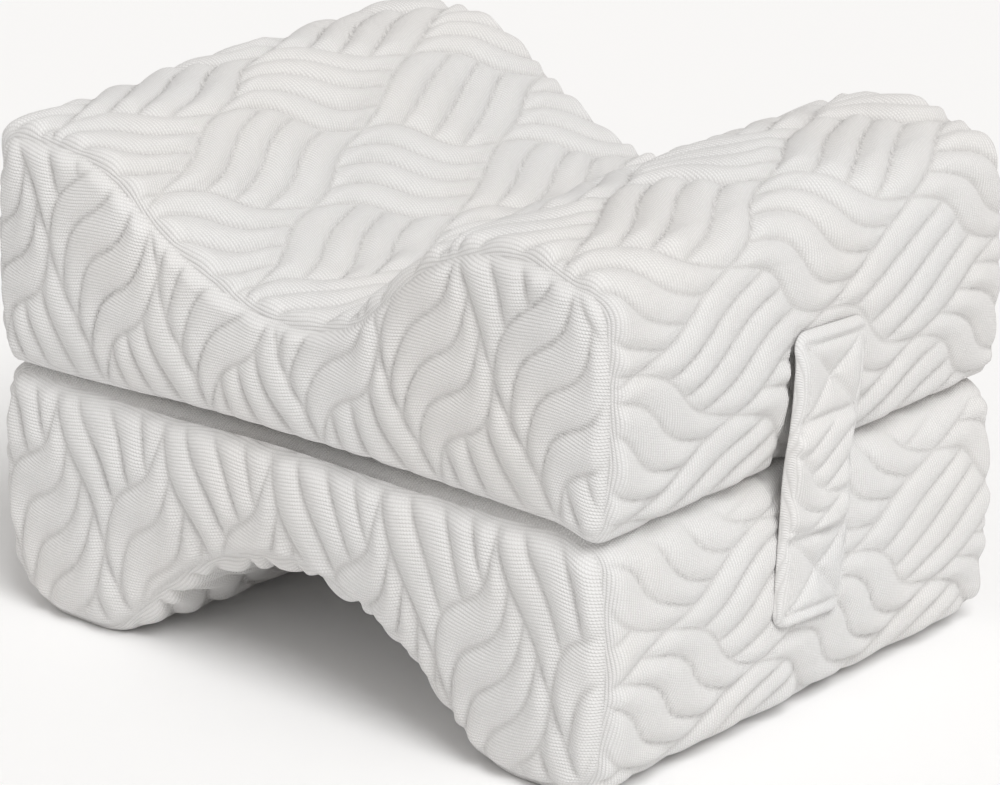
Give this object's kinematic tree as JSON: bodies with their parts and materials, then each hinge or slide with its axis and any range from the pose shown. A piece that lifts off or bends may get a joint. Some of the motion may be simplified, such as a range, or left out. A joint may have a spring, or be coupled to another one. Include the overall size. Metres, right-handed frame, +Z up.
{
  "type": "knee pillow",
  "caption": "Knee pillow: two stacked foam pads in quilted knit covers, each with a leg groove, joined by a sewn side strap.",
  "frame": {"origin": "on the floor, under the centre of the whole pillow's bounding box", "axes": "+X across the leg grooves towards the side that carries the strap, +Y along the grooves away from the front end panel, +Z up"},
  "size_m": [0.2684, 0.2146, 0.1781],
  "materials": {
    "cover": "white double-knit cotton ticking, quilted in relief over thin wadding, matte",
    "strap": "the same white quilted knit, folded and edge stitched, matte"
  },
  "bodies": {
    "root": {"upper_pad": "cover", "lower_pad": "cover", "hinge_strap": "strap"}
  },
  "joints": []
}
